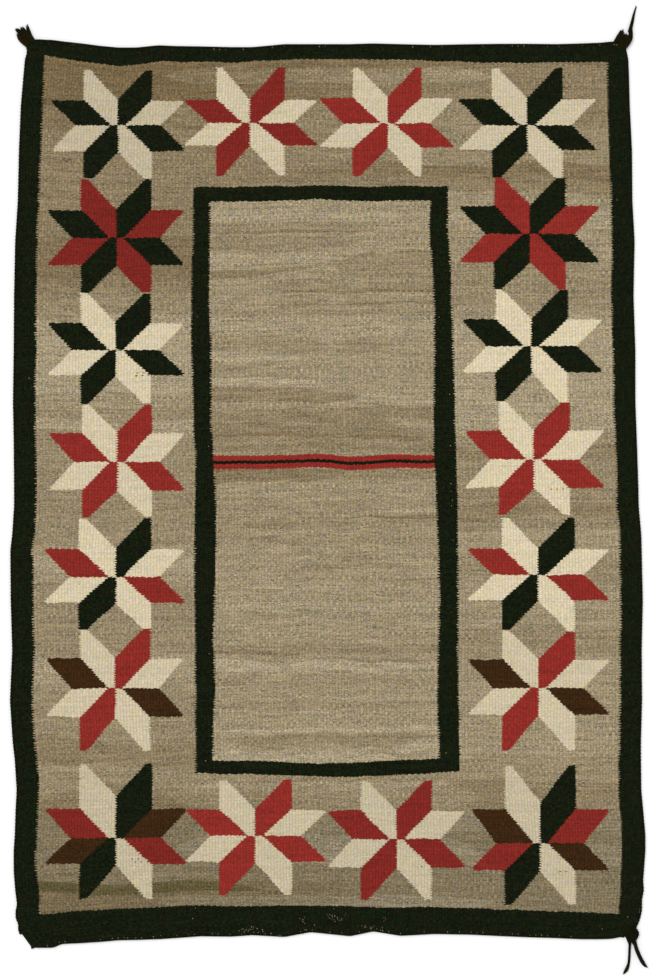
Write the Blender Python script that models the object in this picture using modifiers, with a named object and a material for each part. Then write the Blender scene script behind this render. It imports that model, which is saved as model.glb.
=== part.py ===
"""Hand-woven wool saddle blanket, lying flat.

One tapestry-woven sheet, bound by a yarn cord along each side and each end,
with the cords' ends tied at three of the corners. Metres, +Z up. The origin
is on the underside, at the middle of the blanket and its knots, +Y runs
along the warp to the far end, and +X is across it.
"""

import math
from collections import namedtuple

import bmesh
import bpy
from mathutils import Matrix, Vector

for old in list(bpy.data.objects):
    bpy.data.objects.remove(old, do_unlink=True)

# ---------------------------------------------------------------- sizes, mm
MM = 0.001
THICKNESS = 3.0  # of the woven sheet
CORD = 3.4  # diameter of the edge cords
GAP = 0.3  # between neighbouring pieces
INSET = CORD + GAP  # from the outline to the sheet's own edge
KNOT_HEIGHT = 7.0

# The outline at each section across the blanket, edge cords included.
Section = namedtuple("Section", "y left right")
SECTIONS = [
    Section(593, -404.5, 400.5),
    Section(587, -403.0, 399.5),
    Section(581, -403.0, 401.0),
    Section(574, -405.5, 402.5),
    Section(551, -407.5, 403.5),
    Section(511, -411.0, 404.5),
    Section(451, -413.5, 407.5),
    Section(384, -415.0, 408.0),
    Section(330, -418.5, 411.0),
    Section(257, -420.0, 409.5),
    Section(183, -420.5, 412.0),
    Section(116, -421.5, 412.0),
    Section(62, -420.5, 414.0),
    Section(2, -420.0, 416.0),
    Section(-25, -420.0, 416.5),
    Section(-64, -422.5, 420.0),
    Section(-84, -425.0, 420.5),
    Section(-152, -424.5, 422.0),
    Section(-219, -422.5, 420.5),
    Section(-286, -425.5, 421.0),
    Section(-340, -422.0, 419.5),
    Section(-366, -419.0, 419.5),
    Section(-406, -416.5, 420.0),
    Section(-433, -418.0, 422.5),
    Section(-466, -419.0, 425.5),
    Section(-487, -420.5, 425.5),
    Section(-514, -420.5, 423.5),
    Section(-527, -419.5, 422.5),
    Section(-540, -418.5, 423.5),
    Section(-552, -417.0, 421.0),
    Section(-560, -416.0, 421.0),
    Section(-567, -418.0, 421.0),
    Section(-578, -418.0, 418.5),
    Section(-586, -414.0, 415.5),
    Section(-592, -415.0, 412.0),
    Section(-599, -412.5, 408.0),
]

# The outline at each section along the blanket.
EndSection = namedtuple("EndSection", "x far near")
END_SECTIONS = [
    EndSection(-402, 598.5, -619.0),
    EndSection(-394, 600.0, -617.8),
    EndSection(-387, 600.0, -617.0),
    EndSection(-368, 599.0, -617.0),
    EndSection(-357, 597.5, -612.0),
    EndSection(-326, 594.0, -610.5),
    EndSection(-303, 591.0, -609.0),
    EndSection(-281, 589.0, -607.0),
    EndSection(-256, 589.0, -606.5),
    EndSection(-227, 592.0, -605.5),
    EndSection(-204, 591.0, -604.0),
    EndSection(-170, 590.5, -601.5),
    EndSection(-129, 589.5, -602.0),
    EndSection(-101, 589.5, -600.0),
    EndSection(-58, 593.5, -602.5),
    EndSection(-23, 593.5, -596.0),
    EndSection(30, 593.5, -601.5),
    EndSection(61, 594.5, -595.0),
    EndSection(98, 593.5, -601.0),
    EndSection(143, 592.5, -598.5),
    EndSection(194, 593.5, -599.5),
    EndSection(236, 594.0, -601.5),
    EndSection(272, 594.0, -603.0),
    EndSection(307, 593.5, -604.0),
    EndSection(340, 594.5, -605.5),
    EndSection(366, 595.5, -605.5),
    EndSection(381, 597.0, -605.0),
    EndSection(393, 597.0, -602.0),
    EndSection(402, 597.0, -600.0),
]

# The sheet's own corners. The near left one is worn: the side cord has let go,
# and the bare weave steps in below WORN_FROM_Y and runs to a point.
Corner = namedtuple("Corner", "x y")
FAR_LEFT = Corner(-400.0, 595.4)
FAR_RIGHT = Corner(396.6, 593.0)
NEAR_RIGHT = Corner(404.0, -595.0)
NEAR_LEFT = Corner(-397.0, -619.4)
WORN_FROM_Y = -600.6
WORN_X = -405.0

# Where each edge cord stops, short of the corner's knot or tuft.
CordEnds = namedtuple("CordEnds", "low high")
SIDE_LEFT = CordEnds(-599.0, 590.5)
SIDE_RIGHT = CordEnds(-592.0, 590.0)
END_FAR = CordEnds(-392.0, 386.5)
END_NEAR = CordEnds(-387.0, 396.0)

# Knots and tuft: a wound lump each, in plan.
Lump = namedtuple("Lump", "x y half_x half_y turn")
TUFT_TL = Lump(-405.2, 602.4, 10.4, 9.6, 125.0)
KNOT_TR = Lump(398.3, 601.6, 10.4, 7.8, 20.0)
KNOT_BR = Lump(409.8, -601.0, 7.6, 7.2, -30.0)

# Free yarn ends that stand out of a lump, from its middle to their tips.
Finger = namedtuple("Finger", "tip_x tip_y root")
TUFT_TL_FINGERS = [
    Finger(-418.5, 614.0, 7.0),
    Finger(-410.5, 616.0, 7.0),
    Finger(-403.6, 619.4, 10.0),
    Finger(-416.8, 608.4, 7.0),
]
KNOT_TR_FINGERS = [Finger(399.3, 613.3, 7.0)]

# The cords' longer free ends, along their middle lines.
Route = namedtuple("Route", "diameter points")
TAIL_TR = Route(
    2.8, [(404.2, 609.6), (406.4, 617.0), (408.4, 624.5), (410.6, 634.5), (413.6, 644.8)]
)
TAIL_BR_INNER = Route(
    3.0,
    [(405.4, -608.6), (404.7, -617.0), (404.4, -627.5), (403.4, -638.5), (400.6, -646.5), (396.4, -652.4)],
)
TAIL_BR_OUTER = Route(
    3.6,
    [(411.4, -609.0), (413.6, -618.0), (417.2, -627.0), (421.2, -635.0), (424.9, -640.4), (428.4, -643.6)],
)


def along(table, key, value, at):
    """A named column of a table at this place, straight between its rows."""
    rows = sorted(table, key=lambda row: getattr(row, key))
    places = [getattr(row, key) for row in rows]
    at = min(max(at, places[0]), places[-1])
    for before, after in zip(rows, rows[1:]):
        a, b = getattr(before, key), getattr(after, key)
        if a <= at <= b:
            share = (at - a) / (b - a)
            return getattr(before, value) * (1 - share) + getattr(after, value) * share


# ------------------------------------------------------------ shared helpers
parts = bpy.data.collections.new("saddle_blanket")
bpy.context.scene.collection.children.link(parts)
helpers = bpy.data.collections.new("cutters")
bpy.context.scene.collection.children.link(helpers)


def material(name, colour, roughness=0.9):
    made = bpy.data.materials.new(name)
    made.use_nodes = True
    shader = made.node_tree.nodes["Principled BSDF"]
    shader.inputs["Base Color"].default_value = (*colour, 1.0)
    shader.inputs["Roughness"].default_value = roughness
    shader.inputs["Metallic"].default_value = 0.0
    made.diffuse_color = (*colour, 1.0)
    return made


def add(name, data, collection, finish=None):
    made = bpy.data.objects.new(name, data)
    collection.objects.link(made)
    if finish is not None:
        data.materials.append(material(name, finish))
    return made


def mesh_of(bm, name):
    bmesh.ops.recalc_face_normals(bm, faces=bm.faces)
    data = bpy.data.meshes.new(name)
    bm.to_mesh(data)
    bm.free()
    return data


GROUND = (0.30, 0.24, 0.17)
BLACK = (0.012, 0.016, 0.011)

# ------------------------------------------------------------ the woven sheet
# Its four edges share the sections' places, so each runs beside its cord.
inner = sorted(section.y for section in SECTIONS)
worn = [(NEAR_LEFT.y + (WORN_FROM_Y - NEAR_LEFT.y) * step / 3) for step in (1, 2, 3)]
left_edge = [NEAR_LEFT]
left_edge += [
    Corner(
        WORN_X + (NEAR_LEFT.x - WORN_X) * (y - WORN_FROM_Y) / (NEAR_LEFT.y - WORN_FROM_Y), y
    )
    for y in worn
]
left_edge += [Corner(along(SECTIONS, "y", "left", y) + INSET, y) for y in inner]
left_edge += [FAR_LEFT]
right_edge = [NEAR_RIGHT]
first = 2  # sections below the near right corner, which is rounded off there
for step in range(len(worn) + first):
    y = NEAR_RIGHT.y + (inner[first] - NEAR_RIGHT.y) * (step + 1) / (len(worn) + first + 1)
    share = (y - NEAR_RIGHT.y) / (inner[first] - NEAR_RIGHT.y)
    side = along(SECTIONS, "y", "right", inner[first]) - INSET
    right_edge.append(Corner(NEAR_RIGHT.x + (side - NEAR_RIGHT.x) * share, y))
right_edge += [Corner(along(SECTIONS, "y", "right", y) - INSET, y) for y in inner[first:]]
right_edge += [FAR_RIGHT]
columns = [section.x for section in END_SECTIONS[1:-1]]
far_edge = [FAR_LEFT]
far_edge += [Corner(x, along(END_SECTIONS, "x", "far", x) - INSET) for x in columns]
far_edge += [FAR_RIGHT]
near_edge = [NEAR_LEFT]
near_edge += [
    Corner(x, along(END_SECTIONS, "x", "near", x) + (INSET if x >= END_NEAR.low else 0.0))
    for x in columns
]
near_edge += [NEAR_RIGHT]


def sheet_point(i, j):
    """A place inside the four edges, blended from the ends of its row and column."""
    s, t = i / (len(near_edge) - 1), j / (len(left_edge) - 1)
    place = []
    for k in (0, 1):
        ends = near_edge[i][k] * (1 - t) + far_edge[i][k] * t
        sides = left_edge[j][k] * (1 - s) + right_edge[j][k] * s
        corners = (NEAR_LEFT[k] * (1 - s) + NEAR_RIGHT[k] * s) * (1 - t)
        corners += (FAR_LEFT[k] * (1 - s) + FAR_RIGHT[k] * s) * t
        place.append(ends + sides - corners)
    return place


bm = bmesh.new()
bmesh.ops.create_grid(
    bm, x_segments=len(near_edge) - 1, y_segments=len(left_edge) - 1, size=0.5
)
across = sorted({round(vert.co.x, 5) for vert in bm.verts})
lengthwise = sorted({round(vert.co.y, 5) for vert in bm.verts})
for vert in bm.verts:
    i = across.index(round(vert.co.x, 5))
    j = lengthwise.index(round(vert.co.y, 5))
    x, y = sheet_point(i, j)
    vert.co = Vector((x * MM, y * MM, 0.0))
data = bpy.data.meshes.new("blanket")
bmesh.ops.recalc_face_normals(bm, faces=bm.faces)
if sum(face.normal.z for face in bm.faces) < 0:
    bmesh.ops.reverse_faces(bm, faces=bm.faces)
bm.to_mesh(data)
bm.free()
blanket = add("blanket", data, parts, GROUND)
thick = blanket.modifiers.new("thickness", "SOLIDIFY")
thick.thickness = THICKNESS * MM
thick.offset = 1.0


# ---------------------------------------------------------------- edge cords
def tube(name, points, diameter):
    curve = bpy.data.curves.new(name, "CURVE")
    curve.dimensions = "3D"
    spline = curve.splines.new("POLY")
    spline.points.add(len(points) - 1)
    for point, place in zip(spline.points, points):
        point.co = (place[0] * MM, place[1] * MM, place[2] * MM, 1.0)
    curve.bevel_depth = diameter / 2 * MM
    curve.bevel_resolution = 2
    curve.use_fill_caps = True
    return add(name, curve, parts, BLACK)


def stations(table, key, ends):
    inside = [getattr(r, key) for r in table if ends.low + 2 < getattr(r, key) < ends.high - 2]
    return [ends.low, *sorted(inside), ends.high]


RISE = CORD / 2  # the cords lie on the surface beside the sheet
tube(
    "side_cord_left",
    [(along(SECTIONS, "y", "left", y) + RISE, y, RISE) for y in stations(SECTIONS, "y", SIDE_LEFT)],
    CORD,
)
tube(
    "side_cord_right",
    [(along(SECTIONS, "y", "right", y) - RISE, y, RISE) for y in stations(SECTIONS, "y", SIDE_RIGHT)],
    CORD,
)
tube(
    "end_cord_far",
    [(x, along(END_SECTIONS, "x", "far", x) - RISE, RISE) for x in stations(END_SECTIONS, "x", END_FAR)],
    CORD,
)
tube(
    "end_cord_near",
    [(x, along(END_SECTIONS, "x", "near", x) + RISE, RISE) for x in stations(END_SECTIONS, "x", END_NEAR)],
    CORD,
)


# ------------------------------------------------------------ knots and tuft
def lump_mesh(name, lump, wraps=3):
    """A wound lump of yarn, flat below, with shallow grooves between its wraps."""
    bm = bmesh.new()
    bmesh.ops.create_uvsphere(bm, u_segments=20, v_segments=10, radius=1.0)
    turn = Matrix.Rotation(math.radians(lump.turn), 3, "Z")
    half_height = KNOT_HEIGHT / 2 + 0.6
    for vert in bm.verts:
        p = vert.co.copy()
        around = math.atan2(p.z, p.y)
        p *= 1.0 + 0.06 * math.cos(wraps * around + 2.6 * p.x)
        p = turn @ Vector((p.x * lump.half_x, p.y * lump.half_y, p.z * half_height))
        vert.co = Vector(
            (
                (lump.x + p.x) * MM,
                (lump.y + p.y) * MM,
                max(0.0, KNOT_HEIGHT - half_height + p.z) * MM,
            )
        )
    bmesh.ops.remove_doubles(bm, verts=bm.verts, dist=0.00002)
    return mesh_of(bm, name)


def helper(name, data):
    made = add(name, data, helpers)
    made.hide_render = True
    made.display_type = "WIRE"
    return made


def finger_mesh(name, lump, finger):
    """A flattened, tapering yarn end, from inside the lump to its tip."""
    start = Vector((lump.x, lump.y, 3.0))
    tip = Vector((finger.tip_x, finger.tip_y, 1.8))
    bm = bmesh.new()
    bmesh.ops.create_cone(
        bm,
        cap_ends=True,
        segments=8,
        radius1=finger.root / 2,
        radius2=0.35,
        depth=(tip - start).length,
    )
    turn = (tip - start).to_track_quat("Z", "Y").to_matrix().to_4x4()
    place = Matrix.Translation((start + tip) / 2) @ turn
    bmesh.ops.transform(bm, matrix=place, verts=bm.verts)
    for vert in bm.verts:
        reach = (vert.co - start).dot(tip - start) / (tip - start).length_squared
        middle = start.z + (tip.z - start.z) * reach
        vert.co.z = middle + (vert.co.z - middle) * 0.5
    bmesh.ops.transform(bm, matrix=Matrix.Scale(MM, 4), verts=bm.verts)
    return mesh_of(bm, name)


def corner_block(name, corner_x, corner_y, towards_x, towards_y):
    """The room that the sheet's corner takes, with the gap round it."""
    reach, height = 60.0, 30.0
    bm = bmesh.new()
    bmesh.ops.create_cube(bm, size=1.0)
    middle = Vector(
        (
            corner_x + towards_x * (reach / 2 - GAP),
            corner_y + towards_y * (reach / 2 - GAP),
            0.0,
        )
    )
    place = Matrix.Translation(middle) @ Matrix.Diagonal((reach, reach, height, 1.0))
    bmesh.ops.transform(bm, matrix=Matrix.Scale(MM, 4) @ place, verts=bm.verts)
    return helper(name, mesh_of(bm, name))


def tie(name, lump, fingers, corner, towards):
    made = add(name, lump_mesh(name, lump), parts, BLACK)
    for index, finger in enumerate(fingers):
        end = helper(f"{name}_end_{index}", finger_mesh(f"{name}_end_{index}", lump, finger))
        join = made.modifiers.new(f"end_{index}", "BOOLEAN")
        join.operation = "UNION"
        join.object = end
    block = corner_block(f"{name}_room", *corner, *towards)
    cut = made.modifiers.new("room", "BOOLEAN")
    cut.operation = "DIFFERENCE"
    cut.object = block
    return made


tie("tuft_far_left", TUFT_TL, TUFT_TL_FINGERS, (FAR_LEFT.x - 1.0, FAR_LEFT.y + 1.2), (1, -1))
tie("knot_far_right", KNOT_TR, KNOT_TR_FINGERS, (FAR_RIGHT.x + 1.0, FAR_RIGHT.y + 1.0), (-1, -1))
tie("knot_near_right", KNOT_BR, [], (NEAR_RIGHT.x + 1.0, NEAR_RIGHT.y - 1.0), (-1, 1))


# --------------------------------------------------------------- free tails
def smooth(points, spacing):
    """Points a steady distance apart on a smooth curve through the route."""
    ends = [points[0] * 2 - points[1], *points, points[-1] * 2 - points[-2]]
    fine = []
    for a, b, c, d in zip(ends, ends[1:], ends[2:], ends[3:]):
        for step in range(16):
            u = step / 16
            fine.append(
                0.5
                * (
                    b * 2
                    + (c - a) * u
                    + (a * 2 - b * 5 + c * 4 - d) * u * u
                    + (b * 3 - a - c * 3 + d) * u * u * u
                )
            )
    fine.append(points[-1].copy())
    total = sum((q - p).length for p, q in zip(fine, fine[1:]))
    count = max(4, round(total / spacing))
    spaced, run, wanted = [fine[0]], 0.0, total / count
    for p, q in zip(fine, fine[1:]):
        length = (q - p).length
        while run + length >= wanted - 1e-9 and len(spaced) < count:
            spaced.append(p.lerp(q, (wanted - run) / length))
            wanted += total / count
        run += length
    spaced.append(fine[-1])
    return spaced


def tail(name, route, height):
    """A free end, from the knot's side down to the surface and along it."""
    radius = route.diameter / 2
    last = len(route.points) - 1
    points = [
        Vector((x, y, radius + (height - radius) * max(0.0, 1.0 - 2.2 * index / last)))
        for index, (x, y) in enumerate(route.points)
    ]
    tube(name, smooth(points, 2.4 * route.diameter), route.diameter)


tail("tail_far_right", TAIL_TR, 3.2)
tail("tail_near_right_inner", TAIL_BR_INNER, 3.0)
tail("tail_near_right_outer", TAIL_BR_OUTER, 3.2)
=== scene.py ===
"""The looks of a hand-woven wool saddle blanket, lying flat and seen from straight above.

Metres, +Z up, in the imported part's own frame. Tables are in millimetres. The
weave is described the way a weaver would: warps run along Y, weft picks run
across, and each colour change falls between the beads that the picks make.
"""

import math
from collections import namedtuple

import bpy
import numpy as np
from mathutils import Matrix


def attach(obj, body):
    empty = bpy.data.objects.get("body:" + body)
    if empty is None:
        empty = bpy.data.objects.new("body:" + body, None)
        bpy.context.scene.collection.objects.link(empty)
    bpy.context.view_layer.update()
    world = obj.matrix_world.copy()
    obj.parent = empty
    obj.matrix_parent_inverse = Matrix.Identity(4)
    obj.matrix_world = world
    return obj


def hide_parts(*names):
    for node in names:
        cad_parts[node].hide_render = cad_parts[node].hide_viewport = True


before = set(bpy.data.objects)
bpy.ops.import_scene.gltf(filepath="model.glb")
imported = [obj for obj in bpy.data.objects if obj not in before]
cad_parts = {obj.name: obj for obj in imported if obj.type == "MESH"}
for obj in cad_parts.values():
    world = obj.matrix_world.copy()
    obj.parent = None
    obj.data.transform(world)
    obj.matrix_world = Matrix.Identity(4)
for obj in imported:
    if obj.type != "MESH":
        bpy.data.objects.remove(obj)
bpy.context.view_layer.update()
MM = 0.001
rng = np.random.default_rng(1910)

# ------------------------------------------------------------ the camera
# The photograph looks straight down, with the far end at the top.
camera = bpy.data.objects.new("camera", bpy.data.cameras.new("camera"))
bpy.context.scene.collection.objects.link(camera)
camera.data.lens = 100.0
camera.data.sensor_width = 36.0
camera.data.sensor_fit = "AUTO"
camera.data.clip_end = 50.0
camera.location = (-0.0009, -0.0024, 3.643)
bpy.context.scene.camera = camera

# ------------------------------------------------------------ sizes, mm
# The outline at each section across the blanket, edge cords included.
SECTIONS = [
    (593, -404.5, 400.5), (587, -403.0, 399.5), (581, -403.0, 401.0), (574, -405.5, 402.5),
    (551, -407.5, 403.5), (511, -411.0, 404.5), (451, -413.5, 407.5), (384, -415.0, 408.0),
    (330, -418.5, 411.0), (257, -420.0, 409.5), (183, -420.5, 412.0), (116, -421.5, 412.0),
    (62, -420.5, 414.0), (2, -420.0, 416.0), (-25, -420.0, 416.5), (-64, -422.5, 420.0),
    (-84, -425.0, 420.5), (-152, -424.5, 422.0), (-219, -422.5, 420.5), (-286, -425.5, 421.0),
    (-340, -422.0, 419.5), (-366, -419.0, 419.5), (-406, -416.5, 420.0), (-433, -418.0, 422.5),
    (-466, -419.0, 425.5), (-487, -420.5, 425.5), (-514, -420.5, 423.5), (-527, -419.5, 422.5),
    (-540, -418.5, 423.5), (-552, -417.0, 421.0), (-560, -416.0, 421.0), (-567, -418.0, 421.0),
    (-578, -418.0, 418.5), (-586, -414.0, 415.5), (-592, -415.0, 412.0), (-599, -412.5, 408.0),
]
# The outline at each section along it: x, far, near.
END_SECTIONS = [
    (-402, 598.5, -619.0), (-394, 600.0, -617.8), (-387, 600.0, -617.0), (-368, 599.0, -617.0),
    (-357, 597.5, -612.0), (-326, 594.0, -610.5), (-303, 591.0, -609.0), (-281, 589.0, -607.0),
    (-256, 589.0, -606.5), (-227, 592.0, -605.5), (-204, 591.0, -604.0), (-170, 590.5, -601.5),
    (-129, 589.5, -602.0), (-101, 589.5, -600.0), (-58, 593.5, -602.5), (-23, 593.5, -596.0),
    (30, 593.5, -601.5), (61, 594.5, -595.0), (98, 593.5, -601.0), (143, 592.5, -598.5),
    (194, 593.5, -599.5), (236, 594.0, -601.5), (272, 594.0, -603.0), (307, 593.5, -604.0),
    (340, 594.5, -605.5), (366, 595.5, -605.5), (381, 597.0, -605.0), (393, 597.0, -602.3),
    (402, 597.0, -605.0),
]
FAR_LEFT, FAR_RIGHT = (-401.0, 596.2), (398.0, 594.4)
NEAR_LEFT, NEAR_RIGHT = (-397.0, -619.4), (407.0, -598.0)
WORN = [(-410.3, -600.4), (-404.2, -601.8), (-402.2, -604.2), (-399.6, -608.0)]  # the near left corner is bare weave from here to its point
SIDE_LEFT, SIDE_RIGHT = (-599.0, 590.5), (-592.0, 590.0)
END_FAR, END_NEAR = (-392.0, 386.5), (-389.0, 398.0)
CORD = 3.6
UNDER_CORD = 2.0  # the weave reaches this far in from the outline, just under the cords
TUFT_FAR_LEFT = (-405.2, 602.4, 10.4, 9.6, 125.0)
KNOT_FAR_RIGHT = (398.3, 601.6, 10.4, 7.8, 20.0)
KNOT_NEAR_RIGHT = (409.8, -601.0, 7.6, 7.2, -30.0)
TUFT_TIPS = [(-418.5, 614.0), (-410.5, 616.0), (-403.6, 619.4), (-416.8, 608.4)]
KNOT_TIP = (399.3, 613.3)
TAILS = {
    "tail_far_right": (2.8, 3.2, [(404.2, 609.6), (406.4, 617.0), (408.4, 624.5), (410.6, 634.5), (413.6, 644.8)]),
    "tail_near_right_inner": (3.0, 3.0, [(405.4, -608.6), (404.7, -617.0), (404.4, -627.5), (403.4, -638.5), (400.6, -646.5), (396.4, -652.4)]),
    "tail_near_right_outer": (3.6, 3.2, [(411.4, -609.0), (413.6, -618.0), (417.2, -627.0), (421.2, -635.0), (424.9, -640.4), (428.4, -643.6)]),
}
# How thick each tail is along its length, as a share of its yarn.
SWELL = {
    "tail_far_right": [(0, 1.8), (0.25, 1.8), (0.5, 1.5), (0.75, 1.05), (0.95, 0.65), (1, 0.35)],
    "tail_near_right_inner": [(0, 1.3), (0.3, 1.2), (0.65, 1.25), (0.8, 1.7), (0.88, 1.7), (0.96, 1.0), (1, 0.4)],
    "tail_near_right_outer": [(0, 1.45), (0.4, 1.55), (0.75, 1.6), (0.9, 1.2), (1, 0.4)],
}
# The corners, where the edge cords' ends come together and fray. Each bundle is
# how many yarns, their thickness, then three places along it, each with the
# bundle's left and right side there.
BUNDLES = {
    "tuft_far_left": [
        (5, 2.8, (-404, 589), (-398, 595), (-413.5, 599.5), (-408, 603), (-417, 606.5), (-415, 608.5)),
        (6, 2.8, (-402, 592), (-394, 598), (-411, 604), (-402, 607), (-419.3, 613), (-416.8, 615)),
        (5, 2.6, (-399, 593), (-392, 599), (-407, 606), (-400, 607.5), (-412, 615.5), (-408.5, 617.5)),
        (5, 2.8, (-397, 593), (-391, 598), (-402, 606), (-396.8, 605.5), (-404.8, 618.5), (-402.2, 619.5)),
    ],
    "knot_far_right": [
        (7, 2.7, (381, 594), (392, 592), (387, 604.5), (396, 601), (391, 610.5), (396.8, 614)),
        (6, 2.7, (388, 594), (400, 590), (396, 601), (404, 598), (398, 608), (401, 607)),
        (6, 2.8, (390, 591), (399, 586), (401, 600), (407, 599), (405, 613.5), (408, 614)),
    ],
    "knot_near_right": [
        (6, 2.8, (402, -590), (412.5, -585), (403.5, -599), (413, -597), (408.8, -613), (413, -612)),
        (6, 2.7, (393, -599), (406, -594), (399.8, -603.5), (408.5, -602), (403.8, -612.5), (406.4, -613)),
        (4, 2.7, (408, -590), (412, -588), (413.5, -596), (416.6, -598), (409.5, -606.5), (413.5, -607)),
    ],
}

WARPS = 204
WARP = 4.05  # pitch of the ribs
PICK = 0.72  # pitch of the weft passes
PICKS = 1680
THICK = 3.0

# ------------------------------------------------------------ the design
# Eight-pointed stars, each of eight lozenges. Colours go clockwise from the
# lozenge left of the far point: w white, k black, r red, b brown. The last two
# say how light this star's cream and red yarns are.
Star = namedtuple("Star", "x y west east far far_tip near near_tip notch colours cream red")
STARS = [
    Star(-281, 485, 88, 88, 33, 73, 35, 73, 28, "wkwkwkwk", 0.55, 0),
    Star(-283, 334, 91, 89, 37, 77, 36, 75, 28, "rkrkrkrk", 0, 0.21),
    Star(-284, 184, 90, 90, 36, 75, 34, 72, 28, "wkwkwkwk", 0.69, 0),
    Star(-282, 34, 90, 89, 39, 75, 38, 73, 28, "wrwrwrwr", 0.66, 0.27),
    Star(-284, -120, 95, 91, 37, 77, 35, 71, 28, "wkwrwkwr", 0.69, 0.25),
    Star(-284.5, -269.5, 91, 90, 40, 79, 38, 82, 28, "wrwbwrwb", 0.63, 0.27),
    Star(-284, -470, 93, 94, 39, 97, 35, 80, 36, "wkbrwkbr", 0.56, 0.21),
    Star(-104.5, 488, 86, 90, 31, 73, 30, 69, 28, "wrwrwrwr", 0.64, 0.22),
    Star(80.5, 487.5, 90, 87, 34, 73, 32, 70, 28, "wrwrwrwr", 0.63, 0.27),
    Star(267, 485, 90, 92, 35, 75, 33, 71, 28, "wkwkwkwk", 0.62, 0),
    Star(271, 339, 92, 92, 38, 77, 37, 73, 28, "rkrkrkrk", 0, 0.28),
    Star(273, 189, 92, 94, 36, 75, 35, 75, 28, "wkwkwkwk", 0.73, 0),
    Star(276, 37, 90, 93, 39, 78, 38, 73, 28, "wrwrwrwr", 0.71, 0.28),
    Star(282, -117.5, 93, 94, 35, 75, 34, 74, 28, "wkwrwkwr", 0.71, 0.27),
    Star(282.5, -269, 93, 94, 38, 76, 36, 82, 28, "wrwbwrwb", 0.63, 0.28),
    Star(285, -477, 91, 91, 46, 102, 36, 81, 32, "wkrbwkrb", 0.57, 0.23),
    Star(-97.5, -467, 92, 95, 35, 74, 35, 78, 28, "wrwrwrwr", 0.59, 0.28),
    Star(92, -471.5, 91, 91, 38, 77, 38, 80, 28, "wrwrwrwr", 0.57, 0.225),
]
ROWS_OF_STARS = {"left": [0, 1, 2, 3, 4, 5, 6], "right": [9, 10, 11, 12, 13, 14, 15], "far": [0, 7, 8, 9], "near": [6, 16, 17, 15]}

# Lines that the weave keeps to. Along the sides, the black border is so many
# warps wide; the others are places in mm.
BORDER_LEFT = [(-620, 7.1), (-540, 7.1), (-500, 6.6), (-440, 6.9), (-400, 7.0), (-370, 6.6), (200, 6.8), (380, 6.6), (500, 6.9), (560, 6.3), (600, 6.0)]  # y, warps
BORDER_RIGHT = [(-620, 6.8), (-490, 7.1), (-400, 6.8), (-330, 6.5), (100, 6.5), (170, 6.8), (300, 6.9), (370, 6.5), (450, 7.1), (510, 7.0), (555, 6.6), (600, 6.6)]
BORDER_FAR = [(-381, 580), (-355, 574.5), (-318, 568), (-276, 564), (-245, 567.5), (-230, 570.5), (-120, 569.5), (-64, 572), (-4, 574), (104, 572.5), (193, 570), (260, 568.5), (375, 569)]  # x, y
BORDER_NEAR = [(-385, -572.5), (-327, -567.5), (-270, -564), (-186, -560.5), (-60, -561), (3, -561), (81, -563), (150, -562.5), (221, -565), (306, -568), (388, -571.5)]
FRAME_LEFT_OUT = [(401, -179), (336, -180), (258, -182.5), (190, -182), (120, -181), (27, -176.5), (-43, -178), (-123, -178), (-202, -177.5), (-282, -176.5), (-383, -177)]  # y, x
FRAME_LEFT_IN = [(384, -157.5), (336, -158), (278, -159.5), (207, -157), (156, -156), (104, -156.5), (43, -154), (1, -150), (-69, -150), (-150, -151.5), (-216, -154), (-256, -151), (-321, -153.5), (-366, -153.5)]
FRAME_RIGHT_IN = [(384, 137.5), (336, 136.5), (283, 141.5), (232, 144), (156, 143), (104, 142), (45, 142.3), (1, 145), (-69, 148), (-150, 150.5), (-216, 149), (-282, 146.5), (-361, 149.5)]
FRAME_RIGHT_OUT = [(401, 161), (348, 161), (283, 165), (232, 166), (181, 168.5), (104, 170), (52, 171.5), (-4, 174), (-69, 174.2), (-123, 174.5), (-202, 174), (-282, 175.5), (-375, 177)]
FRAME_FAR_OUT = [(-179, 401.5), (-18, 404), (33, 402.5), (161, 403)]
FRAME_FAR_IN = [(-157, 383), (-75, 383), (-13, 386.5), (33, 383.5), (138, 384.5)]
FRAME_NEAR_IN = [(-154, -366), (-71, -368), (-7, -370.5), (40, -369), (93, -366.5), (152, -363.5)]
FRAME_NEAR_OUT = [(-177, -383), (-71, -385.5), (9, -388), (40, -387), (93, -385), (177, -381)]
STRIPE = [(-153, 33.5), (-90, 33.5), (-40, 34), (-13, 36), (20, 33), (46, 31.5), (84, 34.5), (142, 34.5)]  # x, y of its middle
STRIPE_HALF, STRIPE_LINE = 9.0, 2.15

# Ground yarn was carded in lots, so the ground is banded. Shades are 0 to 255.
FIELD_SHADE = 157
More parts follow.
